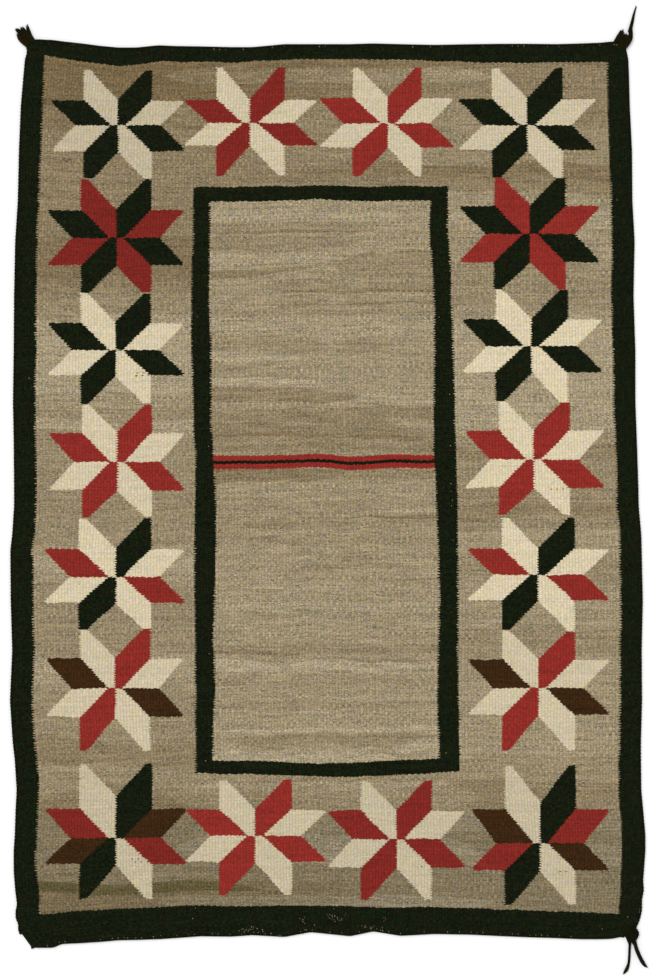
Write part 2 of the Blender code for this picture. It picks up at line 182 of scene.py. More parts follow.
# In the field a lot often ends part of the way across, because the weaver built up one side
# before the other. Each row is how much lighter or darker the lot is, where it
# starts and ends across, then its far edge at both, and its near edge at both.
# Units are 1.34 mm, as measured on the photograph, from its far left corner.
UNIT, UNIT_X, UNIT_Y = 1.34, 327.7, 487.2
LOTS = [
    (7, 205, 426, 208.5, 211, 220.5, 218), (-6, 205, 384, 223, 222, 234.5, 230), (-11, 205, 382, 231.5, 228.5, 235, 232),
    (-7, 205, 362, 236.5, 236, 253.5, 246), (-10, 205, 260, 247, 248, 250.5, 249.5), (-6, 250, 342, 252, 250, 254.5, 252.5),
    (-7, 332, 440, 251.5, 251.5, 280, 281), (-8, 336, 378, 254.5, 252, 258, 256), (-8, 384, 440, 251.5, 251, 254.5, 254),
    (5, 205, 346, 254, 252, 270, 262), (-14, 205, 323, 271.5, 265.5, 281.5, 268.5), (-8, 262, 350, 280, 278, 294.5, 291),
    (-8, 338, 440, 284, 281, 291.5, 292), (-9, 270, 440, 290.5, 288, 294, 292), (-6, 243, 440, 300, 299, 308, 303),
    (-9, 285, 440, 304, 301.5, 306.5, 304), (-8, 205, 440, 309.5, 309, 316, 312.5), (5, 205, 440, 317, 316, 336, 336),
    (-6, 205, 332, 337.5, 337, 350, 355), (-6, 328, 394, 339, 339, 354, 353), (10, 205, 318, 351.5, 358, 362, 361),
    (-6, 205, 292, 363, 366, 369, 368), (11, 205, 326, 377.5, 379.5, 384.5, 385), (-12, 205, 362, 385, 391, 401, 403),
    (-6, 260, 362, 396.5, 400, 400.5, 403), (7, 350, 440, 394, 393, 402.5, 404), (-12, 205, 440, 411, 405, 458, 458),
    (12, 205, 354, 420.5, 423, 422.3, 424.5), (10, 382, 440, 417, 419, 424, 436), (-11, 205, 346, 433.5, 432.5, 437, 436),
    (-11, 340, 432, 434, 435, 439, 441), (7, 205, 308, 443, 441, 445.8, 445.5), (7, 326, 430, 442, 442, 445, 446),
    (8, 205, 440, 451.5, 452.5, 456, 457), (-9, 205, 440, 467, 467, 484, 479.5), (-9, 205, 347, 467, 467, 483, 480),
    (-7, 205, 280, 497, 498, 499.5, 499.5), (-4, 205, 440, 500, 500, 538, 546), (-16, 360, 440, 516, 514, 519, 517.5),
    (9, 376, 440, 510, 507, 513.5, 513), (-6, 230, 362, 521.5, 520.5, 530, 527), (-11, 205, 330, 535, 542.5, 539, 546),
    (-7, 282, 350, 567, 563, 572.5, 571), (-7, 334, 374, 549, 552, 568, 568), (-7, 368, 426, 560, 566, 569, 569),
    (-8, 316, 440, 582, 577.5, 584, 580), (11, 244, 344, 586, 586, 588.7, 588.7), (-8, 366, 420, 593, 592.5, 595.5, 594.5),
    (5, 205, 440, 602, 602.5, 612, 611.5), (-7, 298, 440, 635.5, 635, 638, 637.5), (-7, 205, 440, 645, 643.5, 654, 653.5),
    (-10, 205, 312, 651, 652.5, 654.5, 656.5), (-10, 308, 440, 657, 660, 660, 662.5), (11, 205, 290, 659, 663, 672, 673),
    (11, 284, 440, 659, 663.5, 673, 668), (-4, 205, 422, 674.5, 674, 691, 692), (-5, 214, 440, 700, 701, 712, 706),
    (7, 205, 360, 709.5, 713, 712, 715), (12, 208, 440, 728.5, 727, 733, 731), (-9, 224, 438, 734, 732, 748, 741),
    (8, 205, 402, 752, 750.5, 764, 763), (8, 396, 440, 748, 737, 757, 747),
]
# The same for the ground outside the frame.
OUTER_LOTS = [
    (11, 164, 494, 67, 68, 84, 84), (8, 164, 494, 103, 102, 127, 127), (8, 166, 480, 782, 782, 810, 810),
    (9, 176, 476, 834, 835, 864, 862), (9, 156, 494, 895, 896, 911, 912),
]

# One lot of olive yarn runs in from the left: its middle, thickness and end, mm.
OLIVE_BAND = {"y": -537.0, "thick": 14.0, "end": -80.0}
# Round the stars the lots run right across. Each row is where a lot starts,
# counted from the far end down, and which of the carded yarns it is.
CARDED = {"deep": 121, "dark": 131, "dim": 140, "plain": 149, "pale": 156, "light": 164}
BORDER_LEFT_LOTS = [
    (620, "deep"), (512, "dark"), (484, "dim"), (338, "dark"), (281, "dim"), (262, "plain"), (227, "light"),
    (130, "pale"), (111, "plain"), (93, "light"), (76, "plain"), (-76, "pale"), (-92, "light"), (-111, "pale"),
    (-130, "plain"), (-224, "light"), (-252, "pale"), (-272, "plain"), (-336, "dim"), (-374, "plain"),
    (-403, "dim"), (-413, "dark"), (-528, "deep"),
]
BORDER_RIGHT_LOTS = [
    (620, "dark"), (562, "dim"), (484, "plain"), (436, "dark"), (414, "dim"), (396, "pale"), (377, "light"),
    (358, "pale"), (302, "plain"), (243, "pale"), (227, "light"), (76, "plain"), (58, "dim"), (39, "plain"),
    (-20, "dim"), (-39, "plain"), (-55, "pale"), (-95, "plain"), (-130, "pale"), (-186, "plain"),
    (-224, "pale"), (-358, "plain"), (-400, "dim"), (-457, "dark"), (-480, "dim"), (-510, "dark"),
]

# ------------------------------------------------------------ colours, linear
LIGHT = 1.15  # how much light falls on a surface that lies flat
GAIN = 1.12  # makes up for the shade between the beads
def shade(red, green, blue, gain=1.0):
    """A colour as it looks in this light, 0 to 255 each, as the yarn's own linear colour."""
    def linear(value):
        value /= 255.0
        return value / 12.92 if value <= 0.04045 else ((value + 0.055) / 1.055) ** 2.4
    return tuple(linear(value) * gain / LIGHT for value in (red, green, blue))


CREAM = shade(203, 190, 160)
BLACK = shade(17.5, 24.6, 8.4)
RED = shade(144, 45, 38)
BROWN = shade(58, 36, 14)
OLIVE = shade(92, 84, 52)  # one lot near the near left corner
# Ground yarn is brown and white fleece carded together.
YARN_DARK, YARN_LIGHT = shade(118, 100, 69), shade(180, 167, 138)


def grey(level):
    return (level / 255.0,) * 3


# ------------------------------------------------------------ helpers
def through(stations, reach=10.0):
    """A smooth line through measured stations (at, value), eased over about reach mm."""
    at, value = np.array(sorted(stations), float).T
    dense = np.arange(at[0], at[-1] + 0.25, 0.5)
    line = np.interp(dense, at, value)
    half = int(reach / 0.5)
    kernel = np.hanning(2 * half + 3)
    padded = np.concatenate([2 * line[0] - line[half + 1 : 0 : -1], line, 2 * line[-1] - line[-2 : -half - 3 : -1]])
    smooth = np.convolve(padded, kernel / kernel.sum(), "valid")
    return lambda x: np.interp(x, dense, smooth)


def straight(stations):
    at, value = np.array(sorted(stations), float).T
    return lambda x: np.interp(x, at, value)


def mesh_object(name, verts, faces, finish, smooth=True):
    """A mesh object from points in metres."""
    data = bpy.data.meshes.new(name)
    data.from_pydata(np.asarray(verts, float).tolist(), [], faces if isinstance(faces, list) else faces.tolist())
    data.materials.append(finish)
    data.polygons.foreach_set("use_smooth", [smooth] * len(data.polygons))
    data.update()
    made = bpy.data.objects.new(name, data)
    bpy.context.scene.collection.objects.link(made)
    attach(made, "root")
    return made


def resample(points, step):
    """Points a step apart along a smooth curve through these."""
    points = np.asarray(points, float)
    ends = np.vstack([2 * points[0] - points[1], points, 2 * points[-1] - points[-2]])
    line = []
    for a, b, c, d in zip(ends, ends[1:], ends[2:], ends[3:]):
        for t in np.linspace(0, 1, 24, endpoint=False):
            line.append(0.5 * (2 * b + (c - a) * t + (2 * a - 5 * b + 4 * c - d) * t**2 + (3 * b - a - 3 * c + d) * t**3))
    line = np.array([*line, points[-1]])
    run = np.r_[0, np.cumsum(np.linalg.norm(np.diff(line, axis=0), axis=1))]
    places = np.linspace(0, run[-1], max(2, int(round(run[-1] / step)) + 1))
    return np.stack([np.interp(places, run, line[:, k]) for k in range(3)], 1)


def frames_along(path):
    """Tangent, side and up at each point of a path that runs about level."""
    tangent = np.gradient(path, axis=0)
    tangent /= np.linalg.norm(tangent, axis=1, keepdims=True)
    up = np.array([0.0, 0.0, 1.0])
    side = np.cross(tangent, up)
    length = np.linalg.norm(side, axis=1, keepdims=True)
    side = np.where(length > 0.05, side / np.maximum(length, 1e-9), [1.0, 0.0, 0.0])
    return tangent, side, np.cross(side, tangent)


def strand(path, radius, sides=8):
    """(points, faces) of a round strand in mm along a path, closed at both ends. radius is one for each point."""
    radius = np.broadcast_to(radius, len(path))
    _, side, up = frames_along(path)
    angle = np.arange(sides) * 2 * math.pi / sides
    ring = np.cos(angle)[None, :, None] * side[:, None] + np.sin(angle)[None, :, None] * up[:, None]
    points = path[:, None] + ring * radius[:, None, None]
    points = points.reshape(-1, 3)
    faces = []
    for i in range(len(path) - 1):
        for k in range(sides):
            a, b = i * sides + k, i * sides + (k + 1) % sides
            faces.append((a, a + sides, b + sides, b))
    faces.append(tuple(range(sides)))
    faces.append(tuple(range(len(points) - 1, len(points) - 1 - sides, -1)))
    return points, faces


def joined(parts):
    """Several (points, faces) as one."""
    points, faces, start = [], [], 0
    for more, corners in parts:
        points.append(more)
        faces += [tuple(start + c for c in face) for face in corners]
        start += len(more)
    return np.vstack(points), faces


def plied(path, diameter, plies=2, turn=9.0, sides=8, taper=None, phase=0.0):
    """A yarn of several plies twisted together along a path: (points, faces) of each ply."""
    _, side, up = frames_along(path)
    run = np.r_[0, np.cumsum(np.linalg.norm(np.diff(path, axis=0), axis=1))]
    swell = np.ones(len(path)) if taper is None else taper(run / run[-1])
    ply = diameter * 0.29
    found = []
    for k in range(plies):
        angle = phase + 2 * math.pi * (run / turn + k / plies)
        middle = path + (np.cos(angle)[:, None] * side + np.sin(angle)[:, None] * up) * (diameter / 2 - ply)[..., None] * swell[:, None] if isinstance(ply, np.ndarray) else path + (np.cos(angle)[:, None] * side + np.sin(angle)[:, None] * up) * (diameter / 2 - ply) * swell[:, None]
        found.append(strand(middle, ply * swell, sides))
    return found


# ------------------------------------------------------------ node arithmetic
class Num:
    """A number in a material. Arithmetic on it adds Math nodes."""

    def __init__(self, tree, socket):
        self.tree, self.socket = tree, socket

    def __add__(self, other):
        return self.tree.math("ADD", self, other)

    __radd__ = __add__

    def __sub__(self, other):
        return self.tree.math("SUBTRACT", self, other)

    def __rsub__(self, other):
        return self.tree.math("SUBTRACT", other, self)

    def __mul__(self, other):
        return self.tree.math("MULTIPLY", self, other)

    __rmul__ = __mul__

    def __truediv__(self, other):
        return self.tree.math("DIVIDE", self, other)

    def __abs__(self):
        return self.tree.math("ABSOLUTE", self)

    def __gt__(self, other):
        return self.tree.math("GREATER_THAN", self, other)

    def __lt__(self, other):
        return self.tree.math("LESS_THAN", self, other)


class Finish:
    """A material under construction, around one Principled shader."""

    def __init__(self, name, roughness=0.92, specular=0.05, sheen=0.0):
        self.material = bpy.data.materials.new(name)
        self.material.use_nodes = True
        self.nodes, self.links = self.material.node_tree.nodes, self.material.node_tree.links
        self.shader = self.nodes["Principled BSDF"]
        self.shader.inputs["Roughness"].default_value = roughness
        self.shader.inputs["Specular IOR Level"].default_value = specular
        self.shader.inputs["Sheen Weight"].default_value = sheen
        self.shader.inputs["Sheen Roughness"].default_value = 0.5

    def feed(self, socket, value):
        if isinstance(value, Num):
            self.links.new(value.socket, socket)
        elif isinstance(value, bpy.types.NodeSocket):
            self.links.new(value, socket)
        elif isinstance(value, tuple) and len(value) == 3 and len(socket.default_value) == 4:
            socket.default_value = (*value, 1.0)
        else:
            socket.default_value = value

    def add(self, kind, **settings):
        node = self.nodes.new(kind)
        for name, value in settings.items():
            setattr(node, name, value)
        return node

    def math(self, kind, *values):
        node = self.add("ShaderNodeMath", operation=kind)
        for socket, value in zip(node.inputs, values):
            self.feed(socket, value)
        return Num(self, node.outputs[0])

    def low(self, *values):
        first, *rest = values
        for value in rest:
            first = self.math("MINIMUM", first, value)
        return first

    def high(self, *values):
        first, *rest = values
        for value in rest:
            first = self.math("MAXIMUM", first, value)
        return first

    def ease(self, value, low, high, to_low=0.0, to_high=1.0):
        node = self.add("ShaderNodeMapRange", interpolation_type="SMOOTHSTEP")
        for socket, number in zip(list(node.inputs)[:5], (value, low, high, to_low, to_high)):
            self.feed(socket, number)
        return Num(self, node.outputs[0])

    def split(self, vector):
        node = self.add("ShaderNodeSeparateXYZ")
        self.feed(node.inputs[0], vector)
        return [Num(self, out) for out in node.outputs]

    def vector(self, x=0.0, y=0.0, z=0.0):
        node = self.add("ShaderNodeCombineXYZ")
        for socket, value in zip(node.inputs, (x, y, z)):
            self.feed(socket, value)
        return node.outputs[0]

    def read(self, name):
        return self.add("ShaderNodeAttribute", attribute_name=name).outputs["Vector"]

    def place(self):
        """x and y in mm."""
        x, y, z = self.split(self.add("ShaderNodeTexCoord").outputs["Object"])
        return x * 1000.0, y * 1000.0, z * 1000.0

    def white(self, vector, dimensions="2D"):
        node = self.add("ShaderNodeTexWhiteNoise", noise_dimensions=dimensions)
        self.feed(node.inputs["Vector"], vector)
        return Num(self, node.outputs["Value"]), node.outputs["Color"]

    def noise(self, vector, scale=1.0, detail=1.0, roughness=0.5, dimensions="2D"):
        node = self.add("ShaderNodeTexNoise", noise_dimensions=dimensions)
        self.feed(node.inputs["Vector"], vector)
        node.inputs["Scale"].default_value = scale
        node.inputs["Detail"].default_value = detail
        node.inputs["Roughness"].default_value = roughness
        return Num(self, node.outputs[0]), node.outputs["Color"]

    def ramp(self, value, stops, hard=True):
        node = self.add("ShaderNodeValToRGB")
        node.color_ramp.interpolation = "CONSTANT" if hard else "LINEAR"
        self.feed(node.inputs[0], value)
        elements = node.color_ramp.elements
        elements[0].position, elements[0].color = stops[0][0], (*stops[0][1], 1.0)
        elements.remove(elements[1])
        for at, colour in stops[1:]:
            elements.new(at).color = (*colour, 1.0)
        return node.outputs[0]

    def mixed(self, share, first, second, kind="RGBA", blend="MIX"):
        node = self.add("ShaderNodeMix", data_type=kind, clamp_factor=True)
        if kind == "RGBA":
            node.blend_type = blend
        a, b = {"FLOAT": (2, 3), "VECTOR": (4, 5), "RGBA": (6, 7)}[kind]
        self.feed(node.inputs[0], share)
        self.feed(node.inputs[a], first)
        self.feed(node.inputs[b], second)
        out = node.outputs[{"FLOAT": 0, "VECTOR": 1, "RGBA": 2}[kind]]
        return Num(self, out) if kind == "FLOAT" else out

    def vmath(self, kind, *values):
        node = self.add("ShaderNodeVectorMath", operation=kind)
        for k, value in enumerate(values):
            socket = node.inputs["Scale"] if kind == "SCALE" and k == 1 else node.inputs[k]
            self.feed(socket, value)
        return node.outputs[0]

    def lots(self, value, table):
        """The ground yarn's shade at a place along the blanket, from a table of lots."""
        half = (len(table) + 1) // 2
        parts = [table[:half], table[half:]]
        found = []
        for part in parts:
            top, bottom = part[0][0], part[-1][0] - 40.0
            at = (top - value) / (top - bottom)
            found.append(Num(self, self.ramp(at, [((top - y) / (top - bottom), grey(CARDED[yarn])) for y, yarn in part])))
        return self.mixed(value < parts[1][0][0], found[0], found[1], "FLOAT") * 255.0

    def charted(self, start, table, prefix, stray):
        """start, lighter or darker by each lot that covers this place. It takes three lots at a time."""
        spread = self.vector(stray, stray, stray)
        for k in range(0, len(table), 3):
            far = self.vmath("ADD", self.read(f"{prefix}_far{k}"), spread)
            near = self.vmath("SUBTRACT", self.read(f"{prefix}_near{k}"), spread)
            covers = self.add("ShaderNodeMapRange", data_type="FLOAT_VECTOR", interpolation_type="LINEAR", clamp=True)
            self.feed(covers.inputs[6], self.vmath("MINIMUM", far, near))
            covers.inputs[7].default_value, covers.inputs[8].default_value = (-0.5,) * 3, (0.9,) * 3
            amounts = self.add("ShaderNodeVectorMath", operation="DOT_PRODUCT")
            self.feed(amounts.inputs[0], covers.outputs[1])
            rows = [row[0] * 1.2 for row in table[k : k + 3]]
            amounts.inputs[1].default_value = (*rows, *[0.0] * (3 - len(rows)))
            start = start + Num(self, amounts.outputs["Value"])
        return start

    def bump(self, height, distance, strength):
        node = self.add("ShaderNodeBump")
        node.inputs["Strength"].default_value = strength
        node.inputs["Distance"].default_value = distance
        self.feed(node.inputs["Height"], height)
        self.links.new(node.outputs[0], self.shader.inputs["Normal"])

    def colour(self, value):
        self.feed(self.shader.inputs["Base Color"], value)


# ------------------------------------------------------------ the weave's finish
def weave_finish():
    f = Finish("woven_wool", roughness=0.92, specular=0.05, sheen=0.04)
    x, y, z = f.place()
    uv = f.add("ShaderNodeUVMap", uv_map="Weave").outputs[0]
    u, v, _ = f.split(uv)
    # Each pick passes over every second warp, so beads are two picks tall and
    # half a bead apart from warp to warp.
    column = f.math("FLOOR", u)
    across = u - column
    odd = f.math("MODULO", column, 2.0)
    rows = (v + odd) / 2.0
    row = f.math("FLOOR", rows)
    along = rows - row
    pick = row * 2.0 - odd
    chance, dye = f.white(f.vector(column, row))
    pick_chance, _ = f.white(f.vector(pick, 3.0))
    # A colour change follows the beads, and strays a little.
    stray_x, stray_y, _ = f.split(f.noise(f.vector(x, y), scale=0.03, detail=0.0)[1])
    # Along the warps, the two yarns' turns lie in each other's gaps, like teeth.
    tooth = abs(f.math("FRACT", y * 0.31 + stray_y * 2.0) - 0.5) * 2.0 - 0.5
    step_x = (0.5 - across) * (WARP * 0.3) + (chance - 0.5) * 1.8 + tooth * 3.0 + (stray_x - 0.5) * 2.0
    step_y = (0.5 - along) * (2 * PICK) + (stray_y - 0.5) * 2.0
    left_half, near_half = (x < 0.0) * 2.0 - 1.0, (y < 0.0) * 2.0 - 1.0
    border_x, border_y, stripe = f.split(f.read("border"))
    out_x, out_y, olive_far = f.split(f.read("frame_out"))
    in_x, in_y, olive_near = f.split(f.read("frame_in"))
    to_x, to_y = step_x * left_half, step_y * near_half
    border = f.low(border_x + to_x, border_y + to_y)
    outside = f.low(out_x + to_x, out_y + to_y)
    inside = f.low(in_x + to_x, in_y + to_y)
    field = inside > 0.25
    black = f.high(border < 0.0, (outside > -0.25) - field)
    # The ground's lots. The border's wander a little.
    pick_noise, _ = f.noise(f.vector(u * 0.09, pick * 3.17), detail=0.0)
    streak, _ = f.noise(f.vector(x * 0.028, y * 0.62), detail=2.0, roughness=0.6)
    lean, _ = f.noise(f.vector(x * 0.006, y * 0.012), detail=1.0)
    lot_y = y + step_y + (lean - 0.5) * 30.0 + (pick_chance - 0.5) * 3.0
    fray = step_y * 0.6 + (chance - 0.5) * 0.6 + (streak - 0.5) * 2.0
    field_shade = f.charted(f.mixed(field, 0.0, float(FIELD_SHADE), "FLOAT"), LOTS, "lot", fray)
    to_right = f.ease(x, -190.0, 190.0)
    border_shade = f.mixed(to_right, f.lots(lot_y, BORDER_LEFT_LOTS), f.lots(lot_y, BORDER_RIGHT_LOTS), "FLOAT")
    border_shade = f.charted(border_shade, OUTER_LOTS, "outer", fray)
    ground_shade = f.mixed(field, border_shade, field_shade, "FLOAT") + (streak - 0.5) * 18.0
    tone = f.math("POWER", ground_shade / 255.0, 2.2) * (1.0 / LIGHT)
    share = (tone - YARN_DARK[0]) / (YARN_LIGHT[0] - YARN_DARK[0])
    ground = f.mixed(share, YARN_DARK, YARN_LIGHT)
    cool = f.ease(y, -445.0, -425.0, 1.0, 0.0)
    ground = f.vmath("MULTIPLY", ground, f.mixed(cool, (1.0, 1.0, 1.0), (0.96, 1.02, 1.10)))
    olive = f.ease(f.low(olive_far + fray, olive_near - fray), -0.5, 0.9, 0.0, 0.85)
    ground = f.mixed(olive, ground, OLIVE)
    # The star of this face, as one quarter of it.
    star_x, star_y, star_colours = f.split(f.read("star_place"))
    west_scale, east_scale, notch_far = f.split(f.read("star_reach"))
    star_far, star_near = f.read("star_far"), f.read("star_near")
    cream_took, red_took, _ = f.split(f.read("star_took"))

    def star_at(along_x, along_y):
        place_x, place_y = along_x - star_x, along_y - star_y
        far, west = place_y > 0.0, place_x < 0.0
        a = abs(place_x) * f.mixed(west, east_scale, west_scale, "FLOAT")
        height = abs(place_y)
        knee, below, beyond = f.split(f.mixed(far, star_near, star_far, "VECTOR"))
        b = f.low(height, knee) * below + f.high(height - knee, 0.0) * beyond
        notch = f.mixed(far, 28.0, notch_far, "FLOAT")
        diagonal = a - 7.0
        upright = f.low(35.0 - a, 58.0 - b, notch + (57.0 - notch) / 27.5 * a - b, b - diagonal)
        level = f.low(27.2 - b, 67.0 - a, b / 1.06 + 43.5 - a, diagonal - b)
        is_upright = upright > 0.0
        star = f.high(upright, level) > 0.0
        digit = star_colours / ((west * 3.0 + 1.0) * (far * 15.0 + 1.0) * (is_upright * 255.0 + 1.0))
        digit = f.math("MODULO", f.math("FLOOR", digit), 4.0)
        dyed = f.ramp(digit * 0.25 + 0.02, [(0.0, CREAM), (0.25, BLACK), (0.5, RED), (0.75, BROWN)])
        took = f.mixed(digit > 1.5, cream_took, f.mixed(digit > 2.5, red_took, 1.0, "FLOAT"), "FLOAT")
        took = f.mixed(abs(digit - 1.0) < 0.5, took, 1.0, "FLOAT")
        return star, f.mixed(star, ground, f.vmath("SCALE", dyed, took))

    # Dark yarn spreads a little over its neighbours.
    at_x, at_y = x + step_x * 0.8, y + step_y + (chance - 0.5) * 0.6
    spread_x, spread_y = f.mixed(odd, 0.12, 0.3, "FLOAT"), f.mixed(odd, -0.3, 0.12, "FLOAT")
    star_one, one = star_at(at_x + spread_x, at_y + spread_y)
    star_two, two = star_at(at_x - spread_x, at_y - spread_y)
    star = f.high(star_one, star_two)
    colour = f.mixed(1.0, one, two, blend="DARKEN")
    band = abs(stripe + step_y)
    in_band = (band < STRIPE_HALF) * field
    colour = f.mixed(in_band, colour, f.mixed(band < STRIPE_LINE, RED, BLACK))
    colour = f.mixed(black, colour, BLACK)
    # Handspun yarn is uneven: bead by bead, pick by pick, and in its dye. On top of that, painted shade darkens the
    # colour in the grooves between the ribs and in the gaps between the beads.
    plain = f.high(star, in_band, black)
    is_black = f.split(colour)[0] < 0.016
    level = f.split(colour)[0]
    uneven = f.mixed(level > 0.1, 0.6, f.mixed(level > 0.32, 0.36, 0.22, "FLOAT"), "FLOAT")
    uneven = f.mixed(plain, 0.66, uneven, "FLOAT")
    uneven = f.mixed(is_black, uneven, 0.78, "FLOAT")
    fibre, _ = f.noise(f.vector(x * 1.6, y * 0.9), detail=2.0, roughness=0.6)
    speck, speck_dye = f.white(f.vector(f.math("FLOOR", u * 3.0 + chance), row * 3.0 + odd))
    wave = (chance - 0.5) * 0.35 + (speck - 0.5) * 0.95 + (pick_noise - 0.5) * 1.1 + (pick_chance - 0.5) * 0.35 + (fibre - 0.5) * 0.8
    # Painted shade: the colour is darkened towards the grooves between the ribs and towards the gaps between the
    # beads.
    painted_groove_shade = f.ease(abs(across * 2.0 - 1.0), 0.4, 1.0, 1.0, 0.8)
    gap = f.ease(abs(along * 2.0 - 1.0), 0.6, 1.0, 1.0, 0.86)
    bright = (wave * uneven + 1.0) * painted_groove_shade * gap
    tint = f.vmath("SUBTRACT", f.vmath("ADD", dye, speck_dye), (1.0, 1.0, 1.0))
    tint = f.vmath("MULTIPLY", tint, f.mixed(is_black, (0.116, 0.082, 0.31), (1.0, 0.8, 0.7)))
    tint = f.vmath("ADD", tint, (1.0, 1.0, 1.0))
    colour = f.vmath("SCALE", f.vmath("MULTIPLY", colour, tint), bright * GAIN)
    f.colour(colour)
    f.feed(f.shader.inputs["Roughness"], chance * 0.1 + 0.86)
    dome = (1.0 - (along * 2.0 - 1.0) * (along * 2.0 - 1.0)) * (1.0 - abs(across * 2.0 - 1.0) * 0.7)
    f.bump(dome + fibre * 0.35, 0.0004, 0.5)
    return f.material


def yarn_finish(name, base, other, twist=0.0, fuzz=0.5):
    """Spun yarn: fibres along it, and dye that took unevenly."""
    f = Finish(name, roughness=0.9, specular=0.02, sheen=0.01)
    x, y, z = f.place()
    spot = f.vector(x, y, z)
    fine, dye = f.noise(spot, scale=2.2, detail=3.0, roughness=0.65, dimensions="3D")
    slow, _ = f.noise(spot, scale=0.08, detail=1.0, dimensions="3D")
    colour = f.mixed(f.ease(slow * 0.6 + fine * 0.4, 0.38, 0.62), base, other)
    colour = f.vmath("SCALE", colour, fine * 1.1 + 0.45)
    f.colour(colour)
    f.feed(f.shader.inputs["Roughness"], fine * 0.2 + 0.78)
    f.bump(fine, 0.0005, fuzz)
    return f.material


weave = weave_finish()
edge_yarn = yarn_finish("edge_yarn", shade(18, 24, 9), shade(29, 27, 12))
tie_yarn = yarn_finish("tie_yarn", shade(19, 25, 8), shade(38, 31, 13))  # the far ties have faded browner
warp_yarn = yarn_finish("warp_yarn", shade(182, 168, 132), shade(150, 136, 102))
dark_fleck = yarn_finish("dark_fleck", shade(48, 36, 22), shade(72, 56, 36))
black_fleck = yarn_finish("black_fleck", shade(24, 26, 15), shade(30, 30, 18))
red_fleck = yarn_finish("red_fleck", shade(150, 40, 36), shade(120, 34, 28))
brown_fleck = yarn_finish("brown_fleck", shade(66, 41, 20), shade(54, 34, 17))

# ------------------------------------------------------------ the free tails
tail_paths = {}
for name, (diameter, start_height, points) in TAILS.items():
    radius, last = diameter / 2, len(points) - 1
    route = [(px, py, radius + (start_height - radius) * max(0.0, 1 - 2.2 * k / last)) for k, (px, py) in enumerate(points)]
    path = resample(route, 0.8)
    tail_paths[name] = path
    thin = straight(SWELL[name])
    parts = plied(path, diameter, plies=3, turn=9.0, sides=8, taper=thin)
    # Single fibres that have worked loose at the tip.
    for k in range(9):
        start = path[-1 - int(rng.integers(1, 9))]
        way = path[-1] - path[-4]
        way = way / np.linalg.norm(way)
        aside = np.array([-way[1], way[0], 0.0]) * rng.uniform(-0.5, 0.5)
        end = start + (way + aside) * rng.uniform(2.0, 4.2)
        end[2] = max(0.25, end[2] + rng.uniform(-0.6, 0.5))
        hair = resample([start, (start + end) / 2 + rng.uniform(-0.3, 0.3, 3) * [1, 1, 0], end], 0.6)
        hair[:, 2] = np.maximum(hair[:, 2], 0.15)
        parts.append(strand(hair, np.linspace(0.16, 0.05, len(hair)), 4))
    points_, faces = joined(parts)
    points_[:, 2] = np.maximum(points_[:, 2], 0.0)
    tail = mesh_object(name + "_yarn", points_ * MM, faces, edge_yarn)
    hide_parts(name)
    tuple(path[0] * MM)
    diameter * MM
    (path * MM).tolist()

# ------------------------------------------------------------ the woven sheet
left_line = through([NEAR_LEFT[::-1]] + [place[::-1] for place in WORN] + [(s[0], s[1] + UNDER_CORD) for s in SECTIONS if s[0] >= -599] + [FAR_LEFT[::-1]], 3)
right_line = through([NEAR_RIGHT[::-1]] + [(s[0], s[2] - UNDER_CORD) for s in SECTIONS if s[0] >= -592] + [FAR_RIGHT[::-1]], 5)
far_line = through([FAR_LEFT] + [(s[0], s[1] - UNDER_CORD) for s in END_SECTIONS[1:-1]] + [FAR_RIGHT], 5)
near_line = through([NEAR_LEFT] + [(s[0], s[2] + (UNDER_CORD if s[0] > -387 else 0.3)) for s in END_SECTIONS[1:-1]] + [NEAR_RIGHT], 4)


def on_sheet(s, t):
    """The place in mm at a share s of the way across the warps and t along them."""
    nx, fx = NEAR_LEFT[0] + s * (NEAR_RIGHT[0] - NEAR_LEFT[0]), FAR_LEFT[0] + s * (FAR_RIGHT[0] - FAR_LEFT[0])
    ly, ry = NEAR_LEFT[1] + t * (FAR_LEFT[1] - NEAR_LEFT[1]), NEAR_RIGHT[1] + t * (FAR_RIGHT[1] - NEAR_RIGHT[1])
    x = (1 - t) * nx + t * fx + (1 - s) * left_line(ly) + s * right_line(ry)
    y = (1 - t) * near_line(nx) + t * far_line(fx) + (1 - s) * ly + s * ry
    x -= (1 - t) * nx + t * fx  # the ends of the corners' own blend, which run straight
    y -= (1 - t) * (NEAR_LEFT[1] * (1 - s) + NEAR_RIGHT[1] * s) + t * (FAR_LEFT[1] * (1 - s) + FAR_RIGHT[1] * s)
    return x, y


def share_along(s, y):
    nx, fx = NEAR_LEFT[0] + s * (NEAR_RIGHT[0] - NEAR_LEFT[0]), FAR_LEFT[0] + s * (FAR_RIGHT[0] - FAR_LEFT[0])
    return float((y - near_line(nx)) / (far_line(fx) - near_line(nx)))


# Rows of the mesh fall between the stars, so that each face belongs to one star.
def between(a, b):
    """Where one star's near tips end and the next one's far tips start."""
    return ((STARS[a].y - STARS[a].near_tip) + (STARS[b].y + STARS[b].far_tip)) / 2


